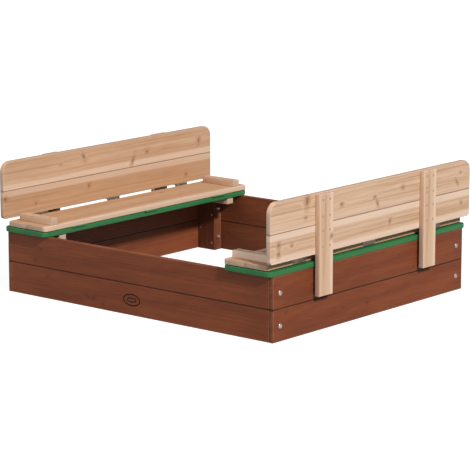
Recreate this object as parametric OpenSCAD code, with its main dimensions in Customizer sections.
// Sandbox with a folding cover that opens into two benches with backrests.
// Millimetres. Z is up, X runs from bench to bench, Y runs along the benches.
// The rest state is open: seats down on the side panels, backrests upright.

/* [Frame] */
// Outer width across the two benches
frame_width = 1100; // [1080:10:1160]
// Outer length along the benches
frame_length = 970; // [900:10:1200]
// Height of one frame board; two are stacked
frame_board_height = 100; // [90:5:120]
// Thickness of the frame boards
frame_board_thickness = 15; // [12:1:20]
// Corner post size across, towards the middle of the pit
post_width = 75; // [60:5:90]
// Corner post size along the bench
post_depth = 38; // [30:1:45]

/* [Cover panels] */
// Thickness of every cover board
cover_thickness = 16; // [14:1:18]
// Depth of the fixed side panel
lid_depth = 184; // [176:1:184]
// Side panel overhang beyond the side boards
lid_side_overhang = 2; // [0:1:6]
// Side panel overhang beyond the front and back boards
lid_end_overhang = 16; // [8:1:24]
// Corner radius of the side panel
lid_corner = 18; // [6:1:25]
// How far the seat stops short of the panel's outer edge
seat_inset = 15.5; // [14:0.5:18]
// How far each seat end stops short of the panel's end
seat_end_inset = 3; // [0:1:8]
// Corner radius of the seat
seat_corner = 12; // [4:1:20]
// Height of the backrest panel
backrest_height = 185; // [150:1:186]
// Height of the lower of its two boards
backrest_lower_board = 90; // [70:1:110]
// Length of the backrest
backrest_length = 1018; // [980:2:1060]
// Radius of the backrest's top corners
backrest_top_corner = 35; // [10:1:50]
// Radius of the backrest's bottom corners
backrest_bottom_corner = 12; // [4:1:20]
// Chamfer along the joint between neighbouring boards
seam_chamfer = 1.5; // [0.5:0.5:2.5]

/* [Cleats and battens] */
// Height of the cleats under the panels and on the seats
cleat_height = 22; // [16:1:28]
// Width of the cleats
cleat_width = 30; // [20:1:30]
// Length of the cleats under the fixed panels
lid_cleat_length = 130; // [110:1:150]
// Length of the cleats on the seats
seat_cleat_length = 140; // [110:1:150]
// Width of the backrest battens
batten_width = 65; // [50:1:80]
// Thickness of the backrest battens
batten_thickness = 18; // [15:1:22]
// Distance of each batten's centre from the middle of the backrest
batten_offset = 265; // [220:5:285]
// How far the battens reach below the seat's top face
batten_drop = 122; // [60:1:160]
// How far the batten tops stop short of the backrest's top edge
batten_top_inset = 2; // [2:1:20]

/* [Hinges] */
// Length of one hinge
hinge_length = 60; // [50:1:80]
// Distance of the outer hinges from the middle
hinge_offset = 345; // [340:5:400]
// Gap between boards that face each other across folded leaves
leaf_gap = 2; // [2:0.1:2.4]
// Thickness of one leaf
leaf_thickness = 0.9; // [0.6:0.1:0.9]
// Width of the leaves between panel and seat
wide_leaf = 25; // [18:1:30]
// Width of the leaves on the board edges
narrow_leaf = 14; // [10:0.5:14]
// Outer radius of the knuckle
knuckle_radius = 2.6; // [2.4:0.1:2.8]
// Radius of the hinge pin
hinge_pin_radius = 1.3; // [1:0.1:1.5]
// Pin centre beyond the inner edge of the panel and seat
seat_pin_reach = 3.5; // [3.5:0.1:4]
// Pin centre above the seat's top face
backrest_pin_rise = 4.5; // [4.5:0.1:5]
// Pin centre to the backrest's inner face
backrest_pin_reach = 5; // [4.8:0.1:5.4]

/* [Fasteners] */
// Shank diameter of the carriage bolts
bolt_diameter = 6; // [5:1:8]
// Head diameter of the carriage bolts
bolt_head_diameter = 16.5; // [14:0.5:18]
// Height of the bolt head dome
bolt_head_height = 3.3; // [2.5:0.1:4]
// Bolt centre from the outer face of the front or back board
bolt_inset = 34; // [30:1:38]
// Bolt height above the lower edge of its board
bolt_height = 48; // [40:1:55]
// Washer outer diameter
washer_diameter = 12; // [11:0.5:14]
// Washer thickness
washer_thickness = 1.6; // [1:0.1:2]
// Nut width across flats
nut_flats = 10; // [9:0.5:11]
// Nut height
nut_height = 5; // [4:0.5:6]
// Shank diameter of the wood screws
screw_diameter = 3.5; // [3:0.1:4]
// Head diameter of the wood screws
screw_head_diameter = 7.5; // [6:0.1:8]
// Depth of the countersunk head
screw_head_depth = 2.5; // [2:0.1:3]
// Length of the screws through the cleats
cleat_screw_length = 32; // [26:1:34]
// Length of the screws through the battens
batten_screw_length = 30; // [24:1:31]
// Length of the screws through the posts
post_screw_length = 48; // [44:1:50]
// Length of the screws that hold the fixed panels
lid_screw_length = 45; // [35:1:50]

/* [Hidden] */
$fn = 48;

overlap = 1;
hole_clearance = 0.05;
knuckle_end_gap = 0.3;
knuckle_count = 5;
half_width = frame_width / 2;
half_length = frame_length / 2;
frame_height = 2 * frame_board_height;
side_inner = half_width - frame_board_thickness;
end_inner = half_length - frame_board_thickness;

post_inner = side_inner - post_width;
bolt_y = half_length - bolt_inset;
neck_length = 4;
bolt_tail = 3.4;
post_screw_margin = 12;
post_screw_heights = [0.25, 0.75];
lid_fixing_margin = 24;
dome_radius = (pow(bolt_head_diameter / 2, 2) + pow(bolt_head_height, 2)) / (2 * bolt_head_height);

lid_outer = half_width + lid_side_overhang;
lid_inner = lid_outer - lid_depth;
lid_length = frame_length + 2 * lid_end_overhang;
lid_top = frame_height + cover_thickness;
cleat_post_gap = 2;
lid_cleat_y = end_inner - post_depth - cleat_post_gap - cleat_width;
lid_cleat_margin = 5;
lid_cleat_screw_steps = [0.12, 0.45, 0.8, 0.92];

seat_outer = lid_outer - seat_inset;
seat_depth = seat_outer - lid_inner;
seat_length = lid_length - 2 * seat_end_inset;
seat_bottom = lid_top + leaf_gap;
seat_top = seat_bottom + cover_thickness;
cleat_board_gap = 5;
seat_cleat_y = end_inner - cleat_board_gap - cleat_width;
seat_cleat_margin = 8;
seat_cleat_screw_steps = [0.12, 0.42, 0.66, 0.9];

seat_pin_x = lid_inner - seat_pin_reach;
seat_pin_z = lid_top + leaf_gap / 2;
back_pin_x = seat_outer + leaf_gap / 2;
back_pin_z = seat_top + backrest_pin_rise;
back_inner = back_pin_x + backrest_pin_reach;
back_outer = back_inner + cover_thickness;
back_bottom = back_pin_z + leaf_gap / 2;
back_top = back_bottom + backrest_height;
batten_bottom = seat_top - batten_drop;
batten_top = back_top - batten_top_inset;
batten_rows_from_bottom = [24, 72];
batten_rows_from_top = [70, 20];
batten_screw_rows = [
    for (rise = batten_rows_from_bottom) back_bottom + rise,
    for (drop = batten_rows_from_top) back_top - drop
];
batten_screw_spread = batten_width / 4;

pine = [0.86, 0.70, 0.52];
green = [0.16, 0.42, 0.24];
brown = [0.44, 0.24, 0.17];
steel = [0.72, 0.73, 0.75];

// ---- placing ----

module both_ends() {
    children();
    mirror([0, 1, 0]) children();
}

module both_sides() {
    children();
    mirror([1, 0, 0]) children();
}

module on_left() {
    mirror([1, 0, 0]) children();
}

module on_front() {
    mirror([0, 1, 0]) children();
}

module at_hinges() {
    for (y = [-hinge_offset, 0, hinge_offset]) {
        translate([0, y, 0]) children();
    }
}

// ---- wood screws, head flush at the origin, pointing down ----

module wood_screw(length, spare = 0) {
    translate([0, 0, -length - spare]) cylinder(h = length + spare, d = screw_diameter + 2 * spare);
    translate([0, 0, -screw_head_depth]) {
        cylinder(h = screw_head_depth, d1 = screw_diameter + 2 * spare, d2 = screw_head_diameter + 2 * spare);
    }
}

module screw_bore(length) {
    wood_screw(length, hole_clearance);
    cylinder(h = overlap, d = screw_head_diameter + 2 * hole_clearance);
}

// ---- boards ----

// A flat board outline: near edge at x = 0, centred on y
module board_outline(depth, length, near_corner, far_corner) {
    difference() {
        translate([0, -length / 2]) square([depth, length]);
        for (end = [0, 1]) {
            mirror([0, end]) {
                translate([0, length / 2]) mirror([0, 1]) corner_waste(near_corner);
                translate([depth, length / 2]) mirror([1, 0]) mirror([0, 1]) corner_waste(far_corner);
            }
        }
    }
}

module corner_waste(radius) {
    if (radius > 0) {
        difference() {
            translate([-overlap, -overlap]) square(radius + overlap);
            translate([radius, radius]) circle(radius);
        }
    }
}

// Chamfer cutter along y at the two faces of a board edge
module seam_cutter(length) {
    for (z = [0, cover_thickness]) {
        translate([0, length / 2 + overlap, z]) {
            rotate([90, 0, 0]) {
                linear_extrude(length + 2 * overlap) rotate(45) square(seam_chamfer * sqrt(2), center = true);
            }
        }
    }
}

// A cover board lying flat; the chamfered joint edge is near or far
module cover_board(depth, length, near_corner, far_corner, seam_at) {
    difference() {
        linear_extrude(cover_thickness) board_outline(depth, length, near_corner, far_corner);
        translate([seam_at, 0, 0]) seam_cutter(length);
    }
}

// ---- frame ----

module frame_seam_cutter(length) {
    rotate([90, 0, 0]) {
        translate([0, 0, -length / 2 - overlap]) {
            linear_extrude(length + 2 * overlap) rotate(45) square(seam_chamfer * sqrt(2), center = true);
        }
    }
}

// Side board standing on edge, chamfered along its joint edge
module side_board(bottom, seam_height) {
    color(brown) difference() {
        translate([side_inner, -half_length, bottom]) {
            cube([frame_board_thickness, frame_length, frame_board_height]);
        }
        for (x = [side_inner, half_width]) {
            translate([x, 0, seam_height]) frame_seam_cutter(frame_length);
        }
        both_ends() bolt_place(bottom) bolt_bore();
    }
}

module end_board(bottom, seam_height) {
    color(brown) difference() {
        translate([-side_inner, end_inner, bottom]) {
            cube([2 * side_inner, frame_board_thickness, frame_board_height]);
        }
        for (y = [end_inner, half_length]) {
            translate([0, y, seam_height]) rotate(90) frame_seam_cutter(2 * side_inner);
        }
        both_sides() at_post_screws() screw_bore(post_screw_length);
    }
}

module front_board_lower() { on_front() end_board(0, frame_board_height); }
module front_board_upper() { on_front() end_board(frame_board_height, frame_board_height); }
module back_board_lower() { end_board(0, frame_board_height); }
module back_board_upper() { end_board(frame_board_height, frame_board_height); }
module left_board_lower() { on_left() side_board(0, frame_board_height); }
module left_board_upper() { on_left() side_board(frame_board_height, frame_board_height); }
module right_board_lower() { side_board(0, frame_board_height); }
module right_board_upper() { side_board(frame_board_height, frame_board_height); }

module corner_post() {
    color(brown) difference() {
        translate([post_inner, end_inner - post_depth, 0]) cube([post_width, post_depth, frame_height]);
        for (bottom = [0, frame_board_height]) {
            bolt_place(bottom) bolt_bore();
        }
        at_post_screws() screw_bore(post_screw_length);
        at_lid_fixings() screw_bore(lid_screw_length);
    }
}

module post_front_left() { on_left() on_front() corner_post(); }
module post_front_right() { on_front() corner_post(); }
module post_back_left() { on_left() corner_post(); }
module post_back_right() { corner_post(); }

// ---- carriage bolts, head outwards along x ----

module bolt_place(bottom) {
    translate([half_width, bolt_y, bottom + bolt_height]) rotate([0, 90, 0]) children();
}

module bolt_bore() {
    neck = bolt_diameter + 2 * hole_clearance;
    translate([0, 0, -frame_board_thickness - post_width - overlap]) {
        cylinder(h = frame_board_thickness + post_width + 2 * overlap, d = neck);
    }
    translate([0, 0, overlap / 2 - neck_length / 2]) cube([neck, neck, neck_length + overlap], center = true);
}

module carriage_bolt() {
    reach = frame_board_thickness + post_width + washer_thickness + nut_height + bolt_tail;
    translate([0, 0, -reach]) cylinder(h = reach, d = bolt_diameter);
    translate([0, 0, -neck_length / 2]) cube([bolt_diameter, bolt_diameter, neck_length], center = true);
    intersection() {
        translate([0, 0, bolt_head_height - dome_radius]) sphere(dome_radius);
        cylinder(h = bolt_head_height + overlap, d = bolt_head_diameter + overlap);
    }
}

module bolt_washer() {
    translate([0, 0, -frame_board_thickness - post_width - washer_thickness]) {
        difference() {
            cylinder(h = washer_thickness, d = washer_diameter);
            translate([0, 0, -overlap]) {
                cylinder(h = washer_thickness + 2 * overlap, d = bolt_diameter + 2 * hole_clearance);
            }
        }
    }
}

module bolt_nut() {
    translate([0, 0, -frame_board_thickness - post_width - washer_thickness - nut_height]) {
        difference() {
            cylinder(h = nut_height, d = nut_flats / cos(30), $fn = 6);
            translate([0, 0, -overlap]) {
                cylinder(h = nut_height + 2 * overlap, d = bolt_diameter + 2 * hole_clearance);
            }
        }
    }
}

module every_bolt() {
    for (bottom = [0, frame_board_height]) {
        both_sides() both_ends() bolt_place(bottom) children();
    }
}

module carriage_bolts() { color(steel) every_bolt() carriage_bolt(); }
module bolt_washers() { color(steel) every_bolt() bolt_washer(); }
module bolt_nuts() { color(steel) every_bolt() bolt_nut(); }

// ---- screws of the frame ----

module at_post_screws() {
    for (board = [0, 1], step = [0, 1]) {
        x = post_inner + post_screw_margin + step * (post_width - 2 * post_screw_margin);
        z = (board + post_screw_heights[step]) * frame_board_height;
        translate([x, end_inner - post_depth, z]) rotate([90, 0, 0]) children();
    }
}

module at_lid_fixings() {
    for (x = [post_inner + lid_fixing_margin, side_inner - lid_fixing_margin]) {
        translate([x, bolt_y, lid_top]) children();
    }
}

module post_screws() {
    color(steel) both_sides() both_ends() at_post_screws() wood_screw(post_screw_length);
}

module lid_fixing_screws() {
    color(steel) both_sides() both_ends() at_lid_fixings() wood_screw(lid_screw_length);
}

// ---- fixed side panels ----

module at_lid_cleat_screws() {
    for (step = lid_cleat_screw_steps) {
        translate([
            lid_inner + lid_cleat_margin + step * lid_cleat_length,
            lid_cleat_y + cleat_width / 2,
            frame_height - cleat_height
        ]) rotate([180, 0, 0]) children();
    }
}

module lid_bores() {
    both_ends() {
        at_lid_cleat_screws() screw_bore(cleat_screw_length);
        at_lid_fixings() screw_bore(lid_screw_length);
    }
}

module lid_board_outer() {
    color(green) difference() {
        translate([lid_inner + lid_depth / 2, 0, frame_height]) {
            cover_board(lid_depth / 2, lid_length, 0, lid_corner, 0);
        }
        lid_bores();
    }
}

module lid_board_inner() {
    color(green) difference() {
        translate([lid_inner, 0, frame_height]) {
            cover_board(lid_depth / 2, lid_length, lid_corner, 0, lid_depth / 2);
        }
        lid_bores();
    }
}

module lid_cleat() {
    color(pine) difference() {
        translate([lid_inner + lid_cleat_margin, lid_cleat_y, frame_height - cleat_height]) {
            cube([lid_cleat_length, cleat_width, cleat_height]);
        }
        at_lid_cleat_screws() screw_bore(cleat_screw_length);
    }
}

module lid_cleat_screws() {
    color(steel) both_ends() at_lid_cleat_screws() wood_screw(cleat_screw_length);
}

// ---- seats ----

module at_seat_screws() {
    for (step = seat_cleat_screw_steps) {
        translate([
            lid_inner + seat_cleat_margin + step * seat_cleat_length,
            seat_cleat_y + cleat_width / 2,
            seat_top + cleat_height
        ]) children();
    }
}

module seat_board_outer() {
    color(pine) difference() {
        translate([lid_inner + seat_depth / 2, 0, seat_bottom]) {
            cover_board(seat_depth / 2, seat_length, 0, seat_corner, 0);
        }
        both_ends() at_seat_screws() screw_bore(cleat_screw_length);
    }
}

module seat_board_inner() {
    color(pine) difference() {
        translate([lid_inner, 0, seat_bottom]) {
            cover_board(seat_depth / 2, seat_length, seat_corner, 0, seat_depth / 2);
        }
        both_ends() at_seat_screws() screw_bore(cleat_screw_length);
    }
}

module seat_cleat() {
    color(pine) difference() {
        translate([lid_inner + seat_cleat_margin, seat_cleat_y, seat_top]) {
            cube([seat_cleat_length, cleat_width, cleat_height]);
        }
        at_seat_screws() screw_bore(cleat_screw_length);
    }
}

module seat_screws() {
    color(steel) both_ends() at_seat_screws() wood_screw(cleat_screw_length);
}

// ---- backrests ----

module at_batten_screws() {
    for (z = batten_screw_rows, shift = [-batten_screw_spread, batten_screw_spread]) {
        translate([back_outer + batten_thickness, batten_offset + shift, z]) {
            rotate([0, 90, 0]) children();
        }
    }
}

// Stands a flat cover board upright with its near edge down
module upright() {
    translate([back_outer, 0, 0]) rotate([0, -90, 0]) children();
}

module backrest_board_lower() {
    color(pine) difference() {
        translate([0, 0, back_bottom]) upright() {
            cover_board(backrest_lower_board, backrest_length, backrest_bottom_corner, 0,
                backrest_lower_board);
        }
        both_ends() at_batten_screws() screw_bore(batten_screw_length);
    }
}

module backrest_board_upper() {
    color(pine) difference() {
        translate([0, 0, back_bottom + backrest_lower_board]) upright() {
            cover_board(backrest_height - backrest_lower_board, backrest_length, 0,
                backrest_top_corner, 0);
        }
        both_ends() at_batten_screws() screw_bore(batten_screw_length);
    }
}

module batten() {
    color(pine) difference() {
        translate([back_outer, batten_offset - batten_width / 2, batten_bottom]) {
            cube([batten_thickness, batten_width, batten_top - batten_bottom]);
        }
        at_batten_screws() screw_bore(batten_screw_length);
    }
}

module backrest_screws() {
    color(steel) both_ends() at_batten_screws() wood_screw(batten_screw_length);
}

// ---- hinges: pin at the origin along y, leaf towards +x, just above z = 0 ----

module hinge_leaf(reach, width, first_knuckle) {
    step = hinge_length / knuckle_count;
    bore = hinge_pin_radius + hole_clearance;
    lift = leaf_gap / 2 - leaf_thickness;
    difference() {
        union() {
            translate([knuckle_radius + knuckle_end_gap, -hinge_length / 2, lift]) {
                cube([reach + width - knuckle_radius - knuckle_end_gap, hinge_length, leaf_thickness]);
            }
            for (k = [first_knuckle : 2 : knuckle_count - 1]) {
                translate([0, -hinge_length / 2 + k * step + knuckle_end_gap / 2, 0]) {
                    rotate([-90, 0, 0]) cylinder(h = step - knuckle_end_gap, r = knuckle_radius);
                    translate([0, 0, lift]) {
                        cube([knuckle_radius + 2 * knuckle_end_gap, step - knuckle_end_gap, leaf_thickness]);
                    }
                }
            }
        }
        rotate([90, 0, 0]) cylinder(h = hinge_length + overlap, r = bore, center = true);
    }
}

module hinge_pin() {
    rotate([90, 0, 0]) cylinder(h = hinge_length, r = hinge_pin_radius, center = true);
}

module at_seat_pins() {
    at_hinges() translate([seat_pin_x, 0, seat_pin_z]) children();
}

module at_backrest_pins() {
    at_hinges() translate([back_pin_x, 0, back_pin_z]) children();
}

module seat_hinge_fixed_leaves() {
    color(green) at_seat_pins() mirror([0, 0, 1]) hinge_leaf(seat_pin_reach, wide_leaf, 0);
}

module seat_hinge_moving_leaves() {
    color(green) at_seat_pins() hinge_leaf(seat_pin_reach, wide_leaf, 1);
}

module seat_hinge_pins() {
    color(green) at_seat_pins() hinge_pin();
}

module backrest_hinge_seat_leaves() {
    color(steel) at_backrest_pins() rotate([0, 90, 0]) mirror([0, 0, 1]) {
        hinge_leaf(backrest_pin_rise, narrow_leaf, 0);
    }
}

module backrest_hinge_back_leaves() {
    color(steel) at_backrest_pins() hinge_leaf(backrest_pin_reach, narrow_leaf, 1);
}

module backrest_hinge_pins() {
    color(steel) at_backrest_pins() hinge_pin();
}

// ---- one module per sub-part of each side ----

module left_lid_board_outer() { on_left() lid_board_outer(); }
module left_lid_board_inner() { on_left() lid_board_inner(); }
module left_lid_cleat_front() { on_left() on_front() lid_cleat(); }
module left_lid_cleat_back() { on_left() lid_cleat(); }
module left_lid_cleat_screws() { on_left() lid_cleat_screws(); }
module left_seat_board_outer() { on_left() seat_board_outer(); }
module left_seat_board_inner() { on_left() seat_board_inner(); }
module left_seat_cleat_front() { on_left() on_front() seat_cleat(); }
module left_seat_cleat_back() { on_left() seat_cleat(); }
module left_seat_screws() { on_left() seat_screws(); }
module left_backrest_board_lower() { on_left() backrest_board_lower(); }
module left_backrest_board_upper() { on_left() backrest_board_upper(); }
module left_batten_front() { on_left() on_front() batten(); }
module left_batten_back() { on_left() batten(); }
module left_backrest_screws() { on_left() backrest_screws(); }
module left_seat_hinge_fixed_leaves() { on_left() seat_hinge_fixed_leaves(); }
module left_seat_hinge_moving_leaves() { on_left() seat_hinge_moving_leaves(); }
module left_seat_hinge_pins() { on_left() seat_hinge_pins(); }
module left_backrest_hinge_seat_leaves() { on_left() backrest_hinge_seat_leaves(); }
module left_backrest_hinge_back_leaves() { on_left() backrest_hinge_back_leaves(); }
module left_backrest_hinge_pins() { on_left() backrest_hinge_pins(); }
module right_lid_board_outer() { lid_board_outer(); }
module right_lid_board_inner() { lid_board_inner(); }
module right_lid_cleat_front() { on_front() lid_cleat(); }
module right_lid_cleat_back() { lid_cleat(); }
module right_lid_cleat_screws() { lid_cleat_screws(); }
module right_seat_board_outer() { seat_board_outer(); }
module right_seat_board_inner() { seat_board_inner(); }
module right_seat_cleat_front() { on_front() seat_cleat(); }
module right_seat_cleat_back() { seat_cleat(); }
module right_seat_screws() { seat_screws(); }
module right_backrest_board_lower() { backrest_board_lower(); }
module right_backrest_board_upper() { backrest_board_upper(); }
module right_batten_front() { on_front() batten(); }
module right_batten_back() { batten(); }
module right_backrest_screws() { backrest_screws(); }
module right_seat_hinge_fixed_leaves() { seat_hinge_fixed_leaves(); }
module right_seat_hinge_moving_leaves() { seat_hinge_moving_leaves(); }
module right_seat_hinge_pins() { seat_hinge_pins(); }
module right_backrest_hinge_seat_leaves() { backrest_hinge_seat_leaves(); }
module right_backrest_hinge_back_leaves() { backrest_hinge_back_leaves(); }
module right_backrest_hinge_pins() { backrest_hinge_pins(); }

// ---- the parts ----

front_board_lower();
front_board_upper();
back_board_lower();
back_board_upper();
left_board_lower();
left_board_upper();
right_board_lower();
right_board_upper();
post_front_left();
post_front_right();
post_back_left();
post_back_right();
carriage_bolts();
bolt_washers();
bolt_nuts();
post_screws();
lid_fixing_screws();
left_lid_board_outer();
left_lid_board_inner();
left_lid_cleat_front();
left_lid_cleat_back();
left_lid_cleat_screws();
left_seat_board_outer();
left_seat_board_inner();
left_seat_cleat_front();
left_seat_cleat_back();
left_seat_screws();
left_backrest_board_lower();
left_backrest_board_upper();
left_batten_front();
left_batten_back();
left_backrest_screws();
left_seat_hinge_fixed_leaves();
left_seat_hinge_moving_leaves();
left_seat_hinge_pins();
left_backrest_hinge_seat_leaves();
left_backrest_hinge_back_leaves();
left_backrest_hinge_pins();
right_lid_board_outer();
right_lid_board_inner();
right_lid_cleat_front();
right_lid_cleat_back();
right_lid_cleat_screws();
right_seat_board_outer();
right_seat_board_inner();
right_seat_cleat_front();
right_seat_cleat_back();
right_seat_screws();
right_backrest_board_lower();
right_backrest_board_upper();
right_batten_front();
right_batten_back();
right_backrest_screws();
right_seat_hinge_fixed_leaves();
right_seat_hinge_moving_leaves();
right_seat_hinge_pins();
right_backrest_hinge_seat_leaves();
right_backrest_hinge_back_leaves();
right_backrest_hinge_pins();
